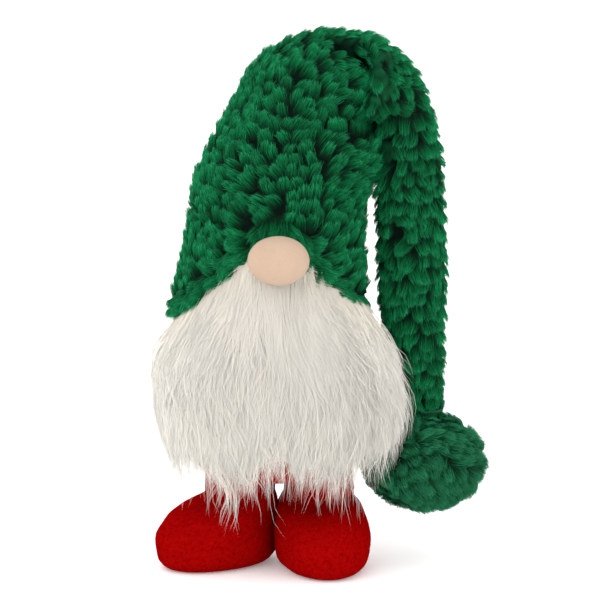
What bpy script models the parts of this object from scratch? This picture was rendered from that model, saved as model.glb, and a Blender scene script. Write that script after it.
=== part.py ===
"""Standing plush gnome: a stuffed trunk under a tall plush stocking hat that folds over into a
tail with a pompom, a ball nose, a long fur beard and two short legs with weighted fleece feet.

Metres, +Z up. The gnome faces -Y and the hat's tail hangs at +X. Left and right are as seen from
the front, so left is -X. Every size below is measured from the trunk's axis on the floor, and the
root empty puts that axis beside the object's origin, the middle of its bounding box's underside.
"""

import math

import bmesh
import bpy
from mathutils import Matrix, Vector

TRUNK_AXIS = Vector((-0.0318, 0.0160, 0.0))

# Thickness of each cloth. The plush's is its woven back with the matted part of its pile.
FLEECE = 0.002
PLUSH = 0.006
FUR_BACKING = 0.0025
HEM = 0.0025
KNIT = 0.0012
BOARD = 0.002
FIT = 0.0004  # between cloth that lies on cloth
FILL_FIT = 0.001  # between a cover and its filling, and three times that in the hat and the trunk
FOLD_SLACK = 0.0095  # the fold is creased, so its filling is thin
BEARD_FIT = 0.0028  # between the trunk and the beard that lies on it

AROUND = 24  # points round the trunk, the hat and the legs
CAGE_AROUND = 12  # points round a foot's cage, before its subdivision
CAGE_SHRINK = math.cos(math.pi / CAGE_AROUND)  # what a subdivided ring keeps of its radius

# Level sections, low to high: height, centre x, half width, half depth.
TRUNK = [
    (0.072, 0.000, 0.054, 0.050),
    (0.084, 0.000, 0.061, 0.057),
    (0.110, 0.000, 0.0655, 0.061),
    (0.160, -0.001, 0.066, 0.0615),
    (0.190, -0.003, 0.0595, 0.0575),
    (0.220, -0.002, 0.0570, 0.0545),
    (0.250, 0.000, 0.0535, 0.0510),
    (0.272, 0.002, 0.047, 0.045),
    (0.288, 0.002, 0.036, 0.035),
    (0.297, 0.002, 0.018, 0.018),
]
CROWN = [
    (0.188, -0.0045, 0.0755, 0.071),
    (0.209, -0.0035, 0.0730, 0.069),
    (0.234, -0.0008, 0.0690, 0.066),
    (0.256, 0.0010, 0.0665, 0.064),
    (0.289, 0.0040, 0.0645, 0.062),
    (0.319, 0.0110, 0.0595, 0.058),
]

# Sections that lean along the hat's path: x, y, height, lean from +Z towards +X in degrees,
# half width, half depth.
CROWN_TOP = [
    (0.0185, 0.000, 0.3395, 11, 0.0545, 0.054),
    (0.0278, 0.000, 0.3590, 23.6, 0.0505, 0.050),
    (0.0420, 0.000, 0.3710, 39, 0.0430, 0.044),
    (0.0570, 0.000, 0.3765, 57.5, 0.0344, 0.037),
]
FOLD = [
    (0.0596, 0.000, 0.3783, 58.5, 0.0338, 0.0365),
    (0.0730, 0.001, 0.3763, 76.0, 0.0284, 0.032),
    (0.0850, 0.003, 0.3695, 97.3, 0.0237, 0.029),
    (0.0913, 0.005, 0.3588, 122, 0.0221, 0.028),
    (0.0953, 0.007, 0.3445, 150.8, 0.0215, 0.027),
    (0.0980, 0.008, 0.3295, 171, 0.0228, 0.026),
]
TAIL = [
    (0.1000, 0.008, 0.3170, 180, 0.0243, 0.025),
    (0.1010, 0.008, 0.2900, 180, 0.0253, 0.0255),
    (0.1025, 0.008, 0.2600, 180, 0.0260, 0.026),
    (0.1035, 0.008, 0.2300, 180, 0.0260, 0.026),
    (0.1040, 0.008, 0.2000, 180, 0.0252, 0.0252),
    (0.1055, 0.008, 0.1720, 180, 0.0228, 0.0228),
    (0.1085, 0.008, 0.1430, 180, 0.0180, 0.018),
    (0.1125, 0.008, 0.1240, 180, 0.0125, 0.0125),
    (0.1150, 0.008, 0.1150, 180, 0.0085, 0.0085),
]

BRIM_SIDE = CROWN[0][0]
BRIM_FRONT = 0.262  # the brim rises to a point over the nose
CROWN_LEVELS = 5
CROWN_FILL_BASE = 0.302
HEM_HEIGHT = 0.015

NOSE_CENTRE = Vector((0.003, -0.083, 0.2435))
NOSE_RADII = Vector((0.0222, 0.020, 0.0180))
NOSE_GATHER = 0.006

POMPOM_CENTRE = Vector((0.115, 0.008, 0.076))
POMPOM_RADII = Vector((0.041, 0.041, 0.036))
POMPOM_TIE_HEIGHT = 0.1165

# The beard is one piece of long fur fabric. Its upper strip is sewn down and the rest hangs free.
BEARD_SPREAD = math.radians(68)  # each way from the front
BEARD_BEND = 0.206
BEARD_SEWN_TOP = 0.232
BEARD_BOTTOM_FRONT = 0.070
BEARD_BOTTOM_SIDE = 0.084
BEARD_BEVEL = 0.010  # how far the pile's upper edge slopes down outwards, so that it can lift
# Height and the pile's depth there.
PILE = [(0.070, 0.012), (0.084, 0.020), (0.115, 0.027), (0.160, 0.0275), (0.195, 0.011), (0.232, 0.003)]

LEGS = {
    "left": {"centre": Vector((-0.027, 0.006, 0.0)), "heading": math.radians(-58)},
    "right": {"centre": Vector((0.033, 0.004, 0.0)), "heading": math.radians(10)},
}
HIP_HEIGHT = 0.0705
LEG_TOP = 0.066
LEG_BASE = 0.0515
LEG_RADIUS = 0.0255
# Foot sections: height, how far forward the centre lies, half length, half width.
FOOT = [
    (0.0025, 0.022, 0.046, 0.030),
    (0.0090, 0.022, 0.0505, 0.0340),
    (0.0240, 0.022, 0.0515, 0.0348),
    (0.0370, 0.019, 0.046, 0.0325),
    (0.0460, 0.011, 0.036, 0.029),
    (0.0508, 0.002, 0.0265, 0.0262),
]
FOOT_FILL_BASE = 0.0185
WEIGHT_BAG = Vector((0.062, 0.040, 0.012))  # length, width, height

PIVOTS = {
    "hat_fold": Vector((0.0397, 0.0, 0.4070)),
    "hat_tail": Vector((0.0990, 0.008, 0.3240)),
    "pompom": Vector((0.1150, 0.008, 0.1165)),
    "beard": Vector((0.0, -0.058, BEARD_BEND + 0.001)),
}

COLOURS = {
    "green_plush": (0.008, 0.110, 0.045, 1.0),
    "red_fleece": (0.330, 0.006, 0.007, 1.0),
    "white_fur": (0.720, 0.690, 0.620, 1.0),
    "fur_backing": (0.600, 0.570, 0.500, 1.0),
    "nose_knit": (0.660, 0.470, 0.340, 1.0),
    "fibre_fill": (0.800, 0.800, 0.780, 1.0),
    "board": (0.420, 0.320, 0.220, 1.0),
    "bag_cloth": (0.520, 0.500, 0.440, 1.0),
    "green_thread": (0.010, 0.130, 0.055, 1.0),
    "nose_thread": (0.560, 0.400, 0.290, 1.0),
}


def clear_scene():
    for thing in list(bpy.data.objects):
        bpy.data.objects.remove(thing, do_unlink=True)


def part_collection(name):
    collection = bpy.data.collections.new(name)
    bpy.context.scene.collection.children.link(collection)
    return collection


def cloth(node, colour):
    """The sub-part's own matt material."""
    material = bpy.data.materials.new(node)
    material.use_nodes = True
    shader = material.node_tree.nodes["Principled BSDF"]
    shader.inputs["Base Color"].default_value = COLOURS[colour]
    shader.inputs["Roughness"].default_value = 0.9
    shader.inputs["Metallic"].default_value = 0.0
    return material


class Gnome:
    """Holds the collection and the empties that the parts hang from."""

    def __init__(self):
        self.collection = part_collection("tomte_gnome")
        self.root = self.empty("gnome", Vector())
        self.root.location = TRUNK_AXIS
        self.pivots = {}

    def empty(self, name, place, parent=None):
        pivot = bpy.data.objects.new(name, None)
        self.collection.objects.link(pivot)
        pivot.empty_display_size = 0.02
        if parent:
            pivot.parent = parent
            pivot.location = place
        return pivot

    def pivot(self, name, place, under=None):
        """An empty on a joint's axis. place is measured from the trunk's axis."""
        parent, origin = self.pivots[under] if under else (self.root, Vector())
        self.pivots[name] = (self.empty(name + "_pivot", place - origin, parent), place)

    def add(self, node, bm, colour, on=None):
        """Add a mesh that was made in the trunk's frame, on the root or on a pivot."""
        parent, origin = self.pivots[on] if on else (self.root, Vector())
        bmesh.ops.translate(bm, verts=bm.verts, vec=-origin)
        bmesh.ops.recalc_face_normals(bm, faces=bm.faces)
        mesh = bpy.data.meshes.new(node)
        bm.to_mesh(mesh)
        bm.free()
        mesh.shade_smooth()
        mesh.set_sharp_from_angle(angle=math.radians(50))
        mesh.materials.append(cloth(node, colour))
        part = bpy.data.objects.new(node, mesh)
        part.parent = parent
        self.collection.objects.link(part)
        return part


def subdivide(part):
    modifier = part.modifiers.new("Subdivision", "SUBSURF")
    modifier.levels = 1
    modifier.render_levels = 1


def shell(part, thickness):
    """Give an open surface its thickness, inwards."""
    modifier = part.modifiers.new("Solidify", "SOLIDIFY")
    modifier.thickness = thickness
    modifier.offset = -1


def section_at(stations, height):
    """The numbers that follow the height in a list of stations, read at any height."""
    for low, high in zip(stations, stations[1:]):
        if height <= high[0]:
            share = max(0.0, (height - low[0]) / (high[0] - low[0]))
            return [a + (b - a) * share for a, b in zip(low[1:], high[1:])]
    return list(stations[-1][1:])


def on_section(stations, height, angle, out=0.0):
    """A point on a level section. angle turns from the front towards the right."""
    x, half_width, half_depth = section_at(stations, height)
    return Vector((
        x + (half_width + out) * math.sin(angle),
        -(half_depth + out) * math.cos(angle),
        height,
    ))


def turns(count):
    return [math.tau * i / count for i in range(count)]


def level_ring(stations, height, out=0.0):
    return [on_section(stations, height, angle, out) for angle in turns(AROUND)]


def leaning_ring(station, out=0.0):
    x, y, height, lean, half_width, half_depth = station
    turn = Matrix.Rotation(math.radians(lean), 3, "Y")
    ring = []
    for angle in turns(AROUND):
        flat = Vector(((half_width + out) * math.sin(angle), -(half_depth + out) * math.cos(angle), 0))
        ring.append(Vector((x, y, height)) + turn @ flat)
    return ring


def loft(rings, cap_first=False, cap_last=False):
    """A skin through rings of the same number of points."""
    bm = bmesh.new()
    loops = [[bm.verts.new(point) for point in ring] for ring in rings]
    count = len(loops[0])
    for low, high in zip(loops, loops[1:]):
        for i in range(count):
            j = (i + 1) % count
            bm.faces.new((low[i], low[j], high[j], high[i]))
    if cap_first:
        bm.faces.new(list(reversed(loops[0])))
    if cap_last:
        bm.faces.new(loops[-1])
    return bm


def slab(outer, inner):
    """A closed body between two grids of points of the same size."""
    bm = bmesh.new()
    front = [[bm.verts.new(point) for point in row] for row in outer]
    back = [[bm.verts.new(point) for point in row] for row in inner]
    rows, columns = len(front), len(front[0])
    for grid in (front, back):
        for r in range(rows - 1):
            for c in range(columns - 1):
                bm.faces.new((grid[r][c], grid[r][c + 1], grid[r + 1][c + 1], grid[r + 1][c]))
    for r in range(rows - 1):
        for c in (0, columns - 1):
            bm.faces.new((front[r][c], front[r + 1][c], back[r + 1][c], back[r][c]))
    for c in range(columns - 1):
        for r in (0, rows - 1):
            bm.faces.new((front[r][c], front[r][c + 1], back[r][c + 1], back[r][c]))
    return bm


def ellipsoid(centre, radii, segments, rings, turn=None):
    bm = bmesh.new()
    bmesh.ops.create_uvsphere(bm, u_segments=segments, v_segments=rings, radius=1.0)
    if turn:
        bmesh.ops.rotate(bm, verts=bm.verts, cent=Vector(), matrix=turn)
    bmesh.ops.scale(bm, vec=radii, verts=bm.verts)
    bmesh.ops.translate(bm, vec=centre, verts=bm.verts)
    return bm


def open_pole(bm):
    """Take away the cap round the first pole, where the cloth is gathered."""
    bm.verts.ensure_lookup_table()
    pole = max(bm.verts, key=lambda vert: len(vert.link_edges) * 10 + vert.co.z + vert.co.y)
    bmesh.ops.delete(bm, geom=[pole], context="VERTS")


def thread_ring(centre, radius, wire, turn=None):
    """A few wraps of thread, drawn tight, as one ring."""
    rings = []
    for angle in turns(16):
        out = Vector((math.cos(angle), math.sin(angle), 0.0))
        ring = []
        for side in turns(8):
            ring.append(out * (radius + wire * math.cos(side)) + Vector((0, 0, wire * math.sin(side))))
        rings.append(ring)
    bm = loft(rings + [rings[0]])
    bmesh.ops.remove_doubles(bm, verts=bm.verts, dist=0.00001)
    if turn:
        bmesh.ops.rotate(bm, verts=bm.verts, cent=Vector(), matrix=turn)
    bmesh.ops.translate(bm, vec=centre, verts=bm.verts)
    return bm


def brim_height(angle):
    """The brim is level round the back and rises like a tent over the nose."""
    if math.cos(angle) <= 0:
        return BRIM_SIDE
    return BRIM_FRONT - (BRIM_FRONT - BRIM_SIDE) * abs(math.sin(angle))


def build_trunk(gnome):
    heights = [station[0] for station in TRUNK]
    cover = loft([level_ring(TRUNK, height) for height in heights], cap_last=True)
    shell(gnome.add("body_cover", cover, "red_fleece"), FLEECE)

    fill = -(FLEECE + 3 * FILL_FIT)
    bottom = heights[0] + FLEECE + 2 * FILL_FIT
    levels = [bottom] + heights[1:-2] + [heights[-2] - 2 * FILL_FIT]
    gnome.add("body_stuffing", loft([level_ring(TRUNK, h, fill) for h in levels], True, True), "fibre_fill")

    inside = -(FLEECE + FIT)
    low = [point + Vector((0, 0, FIT)) for point in level_ring(TRUNK, heights[0], inside)]
    high = [point + Vector((0, 0, FLEECE)) for point in low]
    gnome.add("base_panel", loft([low, high], True, True), "red_fleece")


def crown_rings(out, levels):
    """Rings from the brim to where the crown starts to lean. levels run from 0 at the brim to 1."""
    top = CROWN[-1][0]
    rings = []
    for level in levels:
        ring = []
        for angle in turns(AROUND):
            height = brim_height(angle) + (top - brim_height(angle)) * level
            ring.append(on_section(CROWN, height, angle, out))
        rings.append(ring)
    return rings


def build_hat_crown(gnome):
    levels = [i / CROWN_LEVELS for i in range(CROWN_LEVELS + 1)]
    leaning = [leaning_ring(station) for station in CROWN_TOP]
    shell(gnome.add("hat_crown_cover", loft(crown_rings(0.0, levels) + leaning), "green_plush"), PLUSH)

    fill = -(PLUSH + 3 * FILL_FIT)
    rings = [level_ring(CROWN, CROWN_FILL_BASE, fill), level_ring(CROWN, CROWN[-1][0], fill)]
    rings += [leaning_ring(station, fill) for station in CROWN_TOP]
    gnome.add("hat_crown_stuffing", loft(rings, True, True), "fibre_fill")

    inside = -(PLUSH + 2 * FILL_FIT)
    hem = []
    for above in (FILL_FIT, HEM_HEIGHT):
        hem.append([on_section(CROWN, brim_height(a) + above, a, inside) for a in turns(AROUND)])
    shell(gnome.add("hat_brim_hem", loft(hem), "green_plush"), HEM)


def build_hat_tail(gnome):
    sections = (("hat_fold", FOLD, FOLD[1:], FOLD_SLACK), ("hat_tail", TAIL, TAIL[:-2], 3 * FILL_FIT))
    for node, stations, filled, slack in sections:
        cover = loft([leaning_ring(station) for station in stations])
        shell(gnome.add(node + "_cover", cover, "green_plush", node), PLUSH)
        rings = [leaning_ring(station, -(PLUSH + slack)) for station in filled]
        gnome.add(node + "_stuffing", loft(rings, True, True), "fibre_fill", node)


def build_pompom(gnome):
    cover = ellipsoid(POMPOM_CENTRE, POMPOM_RADII, 16, 10)
    open_pole(cover)
    shell(gnome.add("pompom_cover", cover, "green_plush", "pompom"), PLUSH)
    inside = POMPOM_RADII - Vector((1, 1, 1)) * (PLUSH + 2 * FILL_FIT)
    gnome.add("pompom_stuffing", ellipsoid(POMPOM_CENTRE, inside, 16, 10), "fibre_fill", "pompom")
    knot = Vector((PIVOTS["pompom"].x, PIVOTS["pompom"].y, POMPOM_TIE_HEIGHT))
    tie = thread_ring(knot, TAIL[-1][4] + 0.0030, 0.0012)
    gnome.add("pompom_tie", tie, "green_thread", "hat_tail")


def build_nose(gnome):
    backwards = Matrix.Rotation(math.radians(-90), 3, "X")
    cover = ellipsoid(NOSE_CENTRE, NOSE_RADII, 16, 10, backwards)
    open_pole(cover)
    shell(gnome.add("nose_cover", cover, "nose_knit"), KNIT)
    inside = NOSE_RADII - Vector((1, 1, 1)) * (KNIT + FILL_FIT)
    gnome.add("nose_stuffing", ellipsoid(NOSE_CENTRE, inside, 16, 10, backwards), "fibre_fill")
    knot = NOSE_CENTRE + Vector((0, NOSE_RADII.y + 0.0018, 0))
    gnome.add("nose_thread", thread_ring(knot, NOSE_GATHER, 0.001, backwards), "nose_thread")


def beard_point(height, angle, out):
    return on_section(TRUNK, height, angle, out)


def beard_grid(angles, tops, bottoms, rows, depth, bevel=0.0):
    """Rows of points from the beard's upper edge to its lower edge, at a depth over the trunk."""
    grid = []
    for row in range(rows + 1):
        share = row / rows
        points = []
        for angle, top, bottom in zip(angles, tops, bottoms):
            height = top + (bottom - top) * share - bevel * (1 - share)
            points.append(beard_point(height, angle, depth(height)))
        grid.append(points)
    return grid


def build_beard_piece(gnome, node, angles, tops, bottoms, rows, bevel, pivot):
    under, over = BEARD_FIT, BEARD_FIT + FUR_BACKING
    base = over + FIT
    backing = slab(
        beard_grid(angles, tops, bottoms, rows, lambda height: over),
        beard_grid(angles, tops, bottoms, rows, lambda height: under),
    )
    gnome.add(node + "_backing", backing, "fur_backing", pivot)
    pile = slab(
        beard_grid(angles, tops, bottoms, rows, lambda height: base + section_at(PILE, height)[0], bevel),
        beard_grid(angles, tops, bottoms, rows, lambda height: base),
    )
    gnome.add(node + "_pile", pile, "white_fur", pivot)


def build_beard(gnome):
    def angles_within(limit):
        """The trunk's own corners up to a limit, and the limit itself, each way from the front."""
        corners = [angle for angle in turns(AROUND) if 0 < angle < limit]
        return [-limit] + [-angle for angle in reversed(corners)] + [0.0] + corners + [limit]

    # The free part, from the bend or from under the brim down to the ragged edge.
    angles = angles_within(BEARD_SPREAD)
    tops = [min(BEARD_BEND - 0.001, brim_height(angle) - 0.005) for angle in angles]
    rise = BEARD_BOTTOM_SIDE - BEARD_BOTTOM_FRONT
    bottoms = [BEARD_BOTTOM_FRONT + rise * (1 - math.cos(angle)) for angle in angles]
    build_beard_piece(gnome, "beard", angles, tops, bottoms, 6, BEARD_BEVEL, "beard")

    # The sewn strip between the bend and the brim, as wide as the brim leaves room for.
    base = BEARD_BEND + 0.004
    reach = math.asin((BRIM_FRONT - 0.007 - base) / (BRIM_FRONT - BRIM_SIDE))
    angles = angles_within(reach)
    tops = [min(BEARD_SEWN_TOP, brim_height(angle) - 0.005) for angle in angles]
    bottoms = [base] * len(angles)
    build_beard_piece(gnome, "beard_top", angles, tops, bottoms, 2, 0.0, None)


def foot_ring(leg, height, forward, half_length, half_width, count, out=0.0):
    """A level oval under a leg, whose length runs the way the foot points."""
    turn = Matrix.Rotation(leg["heading"], 3, "Z")
    centre = leg["centre"] + Vector((0, 0, height))
    ring = []
    for angle in turns(count):
        along = forward + (half_length + out) * math.cos(angle)
        ring.append(centre + turn @ Vector(((half_width + out) * math.sin(angle), -along, 0)))
    return ring


def foot_plate(leg, base, top, out):
    _, forward, half_length, half_width = FOOT[0]
    low, high = (
        foot_ring(leg, height, forward, half_length, half_width, AROUND, out) for height in (base, top)
    )
    return loft([low, high], True, True)


def build_leg(gnome, side):
    leg = LEGS[side]
    pivot = "leg_" + side
    hip = leg["centre"] + Vector((0, 0, HIP_HEIGHT))
    gnome.pivot(pivot, hip)

    tube = [(LEG_BASE, LEG_RADIUS + 0.0005), (LEG_TOP, LEG_RADIUS)]
    cover = [foot_ring(leg, height, 0, r, r, AROUND) for height, r in tube]
    shell(gnome.add(f"{side}_leg_cover", loft(cover), "red_fleece", pivot), FLEECE)
    fill = -(FLEECE + FILL_FIT)
    core = [foot_ring(leg, height, 0, r, r, AROUND, fill) for height, r in tube]
    gnome.add(f"{side}_leg_stuffing", loft(core, True, True), "fibre_fill", pivot)

    wide = 1 / CAGE_SHRINK
    rings = []
    for height, forward, half_length, half_width in FOOT:
        size = (half_length * wide, half_width * wide)
        rings.append(foot_ring(leg, height, forward, *size, CAGE_AROUND))
    upper = gnome.add(f"{side}_foot_upper", loft(rings), "red_fleece", pivot)
    subdivide(upper)
    shell(upper, FLEECE)

    gnome.add(f"{side}_foot_sole", foot_plate(leg, 0.0, FLEECE, 0.0), "red_fleece", pivot)
    board_base = FOOT[0][0] + FIT
    board = foot_plate(leg, board_base, board_base + BOARD, -(FLEECE + FILL_FIT))
    gnome.add(f"{side}_foot_board", board, "board", pivot)

    bag = bmesh.new()
    bmesh.ops.create_cube(bag, size=1.0)
    bmesh.ops.scale(bag, vec=Vector((WEIGHT_BAG.y, WEIGHT_BAG.x, WEIGHT_BAG.z)), verts=bag.verts)
    turn = Matrix.Rotation(leg["heading"], 3, "Z")
    bmesh.ops.rotate(bag, verts=bag.verts, cent=Vector(), matrix=turn)
    lift = board_base + BOARD + FIT + WEIGHT_BAG.z / 2
    centre = leg["centre"] + turn @ Vector((0, -FOOT[0][1], 0)) + Vector((0, 0, lift))
    bmesh.ops.translate(bag, vec=centre, verts=bag.verts)
    weight = gnome.add(f"{side}_foot_weight_bag", bag, "bag_cloth", pivot)
    modifier = weight.modifiers.new("Subdivision", "SUBSURF")
    modifier.levels = 2
    modifier.render_levels = 2

    rings = []
    for height, forward, half_length, half_width in FOOT[2:-1]:
        level = FOOT_FILL_BASE if not rings else height - FILL_FIT
        rings.append(foot_ring(leg, level, forward, half_length, half_width, AROUND, -0.0070))
    gnome.add(f"{side}_foot_stuffing", loft(rings, True, True), "fibre_fill", pivot)


def build():
    clear_scene()
    gnome = Gnome()
    gnome.pivot("hat_fold", PIVOTS["hat_fold"])
    gnome.pivot("hat_tail", PIVOTS["hat_tail"], "hat_fold")
    gnome.pivot("pompom", PIVOTS["pompom"], "hat_tail")
    gnome.pivot("beard", PIVOTS["beard"])
    build_trunk(gnome)
    build_hat_crown(gnome)
    build_hat_tail(gnome)
    build_pompom(gnome)
    build_nose(gnome)
    build_beard(gnome)
    for side in LEGS:
        build_leg(gnome, side)


build()
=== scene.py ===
import math
from collections import namedtuple

import bpy
import numpy as np
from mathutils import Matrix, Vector
from mathutils.kdtree import KDTree


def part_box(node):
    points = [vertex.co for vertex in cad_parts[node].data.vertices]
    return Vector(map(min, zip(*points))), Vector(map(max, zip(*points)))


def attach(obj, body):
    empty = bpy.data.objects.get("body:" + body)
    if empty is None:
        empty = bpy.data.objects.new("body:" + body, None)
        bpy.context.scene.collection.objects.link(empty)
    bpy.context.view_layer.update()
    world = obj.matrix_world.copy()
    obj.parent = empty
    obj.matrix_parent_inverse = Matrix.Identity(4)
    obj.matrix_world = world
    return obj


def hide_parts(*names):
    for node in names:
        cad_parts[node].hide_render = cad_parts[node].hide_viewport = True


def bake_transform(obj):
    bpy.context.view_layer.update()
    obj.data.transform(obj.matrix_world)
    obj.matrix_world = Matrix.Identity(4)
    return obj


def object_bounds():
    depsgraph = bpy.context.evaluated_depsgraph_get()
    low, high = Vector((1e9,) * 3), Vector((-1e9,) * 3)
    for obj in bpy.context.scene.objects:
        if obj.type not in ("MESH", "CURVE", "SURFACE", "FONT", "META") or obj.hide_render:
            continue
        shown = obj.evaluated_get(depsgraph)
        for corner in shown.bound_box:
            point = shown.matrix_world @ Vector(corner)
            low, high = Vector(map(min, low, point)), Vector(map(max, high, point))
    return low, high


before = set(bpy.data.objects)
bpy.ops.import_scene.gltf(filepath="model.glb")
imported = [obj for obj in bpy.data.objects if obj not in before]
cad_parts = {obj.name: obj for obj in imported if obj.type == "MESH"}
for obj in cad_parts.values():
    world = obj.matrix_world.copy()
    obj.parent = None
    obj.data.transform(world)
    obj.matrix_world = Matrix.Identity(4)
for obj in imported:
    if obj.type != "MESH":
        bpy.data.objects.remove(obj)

CAD_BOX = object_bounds()
PANEL_LOW, PANEL_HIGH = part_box("base_panel")
AXIS = np.array([(PANEL_LOW.x + PANEL_HIGH.x) / 2, (PANEL_LOW.y + PANEL_HIGH.y) / 2, 0.0])
# in one piece of pile, so that its mesh can be written out whole
MAX_FACES = 180000  # at most this many faces in one piece of pile


# -------- shapes, in metres from the trunk's axis

# height, x, half width, half depth
TRUNK = np.array([
    (0.072, 0.000, 0.0540, 0.0500),
    (0.084, 0.000, 0.0610, 0.0570),
    (0.110, 0.000, 0.0655, 0.0610),
    (0.160, -0.001, 0.0660, 0.0615),
    (0.190, -0.003, 0.0595, 0.0575),
    (0.220, -0.002, 0.0570, 0.0545),
    (0.250, 0.000, 0.0535, 0.0510),
    (0.272, 0.002, 0.0470, 0.0450),
    (0.288, 0.002, 0.0360, 0.0350),
    (0.297, 0.002, 0.0180, 0.0180),
])

# x, y, height, lean in degrees, half width, half depth
HAT = np.array([
    (-0.0045, 0.000, 0.1880, 0, 0.0755, 0.0710),
    (-0.0035, 0.000, 0.2090, 0, 0.0730, 0.0690),
    (-0.0008, 0.000, 0.2340, 0, 0.0690, 0.0660),
    (0.0010, 0.000, 0.2560, 0, 0.0665, 0.0640),
    (0.0040, 0.000, 0.2890, 0, 0.0645, 0.0620),
    (0.0110, 0.000, 0.3190, 0, 0.0595, 0.0580),
    (0.0185, 0.000, 0.3395, 11, 0.0545, 0.0540),
    (0.0278, 0.000, 0.3590, 23.6, 0.0505, 0.0500),
    (0.0420, 0.000, 0.3710, 39, 0.0430, 0.0440),
    (0.0570, 0.000, 0.3765, 57.5, 0.0344, 0.0370),
    (0.0730, 0.001, 0.3763, 76, 0.0284, 0.0320),
    (0.0850, 0.003, 0.3695, 97.3, 0.0237, 0.0290),
    (0.0913, 0.005, 0.3588, 122, 0.0221, 0.0280),
    (0.0953, 0.007, 0.3445, 150.8, 0.0215, 0.0270),
    (0.0980, 0.008, 0.3295, 171, 0.0228, 0.0260),
    (0.1000, 0.008, 0.3170, 180, 0.0243, 0.0250),
    (0.1010, 0.008, 0.2900, 180, 0.0253, 0.0255),
    (0.1025, 0.008, 0.2600, 180, 0.0260, 0.0260),
    (0.1035, 0.008, 0.2300, 180, 0.0260, 0.0260),
    (0.1040, 0.008, 0.2000, 180, 0.0252, 0.0252),
    (0.1055, 0.008, 0.1720, 180, 0.0228, 0.0228),
    (0.1078, 0.008, 0.1430, 180, 0.0200, 0.0200),
    (0.1100, 0.008, 0.1240, 180, 0.0180, 0.0180),
    (0.1120, 0.008, 0.1110, 180, 0.0155, 0.0155),
])
LEVEL_STATIONS = 6  # the hat's first stations, which are level
TAIL_STATION = 12  # where the fold ends and the tail begins
UPRIGHT_TAIL_STATION = 15  # where the tail first hangs straight down
FOLD_LEAN = 74  # degrees: where the crown's skin ends and the tail's begins
BRIM_FRONT, BRIM_SIDE = 0.2595, 0.195
# Where the fold's pinch runs over the front: angle round the hat in degrees, lean of the hat there
CREASE = np.array([(-60, 56), (-32, 62), (-10, 67), (12, 72), (45, 86), (88, 108)])

NOSE_CENTRE = np.array([0.0035, -0.0800, 0.2425])
NOSE_RADII = np.array([0.0221, 0.0205, 0.0177])
POMPOM_CENTRE = np.array([0.1130, 0.008, 0.0765])
POMPOM_RADII = np.array([0.0488, 0.0430, 0.0395])
POMPOM_LOCKS, POMPOM_FIBRES = 330, 50  # fibres in one lock
POMPOM_PILE, POMPOM_RELIEF = 0.0062, 0.0036

BEARD_SPREAD = math.radians(68)
BEARD_ARC = 0.080  # mean distance of the beard's hair from the axis
# height, depth of the pile over the trunk
PILE = np.array([
    (0.040, 0.0190), (0.060, 0.0190), (0.072, 0.0190), (0.084, 0.0170), (0.110, 0.0195), (0.135, 0.0225),
    (0.160, 0.0235), (0.178, 0.0200), (0.195, 0.0160), (0.232, 0.0095), (0.255, 0.0080),
])

LEGS = {
    "left": {"centre": np.array([-0.027, 0.006, 0.0]), "heading": math.radians(-58), "inward": 0.0014},
    "right": {"centre": np.array([0.033, 0.004, 0.0]), "heading": math.radians(10), "inward": -0.0014},
}
# height, distance forward, half length, half width
FOOT = np.array([
    (0.0000, 0.022, 0.0360, 0.0215),
    (0.0006, 0.022, 0.0396, 0.0248),
    (0.0025, 0.022, 0.0434, 0.0284),
    (0.0090, 0.022, 0.0482, 0.0338),
    (0.0240, 0.0215, 0.0500, 0.0358),
    (0.0370, 0.0175, 0.0452, 0.0340),
    (0.0462, 0.0095, 0.0366, 0.0312),
    (0.0512, 0.002, 0.0285, 0.0280),
    (0.0550, 0.000, 0.0252, 0.0252),
])
SLEEVE_LOW, SLEEVE_HIGH, SLEEVE_RADIUS, SLEEVE_BULGE = 0.044, 0.076, 0.0255, 0.0012
# The trunk's base: its edge's height, its middle's sag below that, and how far in the rounding reaches
BASE_EDGE, BASE_SAG, BASE_REACH = 0.080, 0.014, 0.050


# -------- numbers

def clip01(x):
    return np.clip(x, 0, 1)


def stack(*parts):
    return np.stack(parts, -1)


def wrapped(angle):
    """The same angle, from -pi to pi."""
    return np.arctan2(np.sin(angle), np.cos(angle))


def smooth(x, xs, ys):
    """Values at x of a smooth curve through the points (xs, ys), with no overshoot."""
    x, xs, ys = np.asarray(x, float), np.asarray(xs, float), np.asarray(ys, float)
    step = np.diff(xs)
    slope = np.diff(ys) / step
    tangent = np.empty_like(ys)
    tangent[0], tangent[-1] = slope[0], slope[-1]
    product = slope[:-1] * slope[1:]
    total = slope[:-1] + slope[1:]
    same = product > 0
    tangent[1:-1] = np.where(same, 2 * product / np.where(same, total, 1), 0)
    i = np.clip(np.searchsorted(xs, x, side="right") - 1, 0, len(step) - 1)
    t = clip01((x - xs[i]) / step[i])
    a, b = 2 * t**3 - 3 * t**2, t**3 - t**2
    start = (1 + a) * ys[i] + (b - t**2 + t) * step[i] * tangent[i]
    return start - a * ys[i + 1] + b * step[i] * tangent[i + 1]


def unit(v):
    return v / np.maximum(np.linalg.norm(v, axis=-1, keepdims=True), 1e-12)


LATTICE_SIZE = 32
LATTICE = np.random.default_rng(5).random((LATTICE_SIZE,) * 3)


def grain(points, size, shift=0.0):
    """Smooth noise from 0 to 1 at points, whose lumps are about size across."""
    p = np.asarray(points, float) / size + shift
    cell = np.floor(p).astype(int)
    f = p - cell
    f = f * f * (3 - 2 * f)
    total = 0.0
    for corner in np.ndindex(2, 2, 2):
        w = np.where(corner, f, 1 - f)
        at = (cell + corner) % LATTICE_SIZE
        total = total + w[..., 0] * w[..., 1] * w[..., 2] * LATTICE[at[..., 0], at[..., 1], at[..., 2]]
    return total


def bell(x, middle, width):
    """1 at the middle, falling away smoothly over about width to each side."""
    return np.exp(-(((x - middle) / width) ** 2))


def rise(x, start, length):
    """0 up to start, then evenly up to 1 over length."""
    return clip01((x - start) / length)


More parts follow.
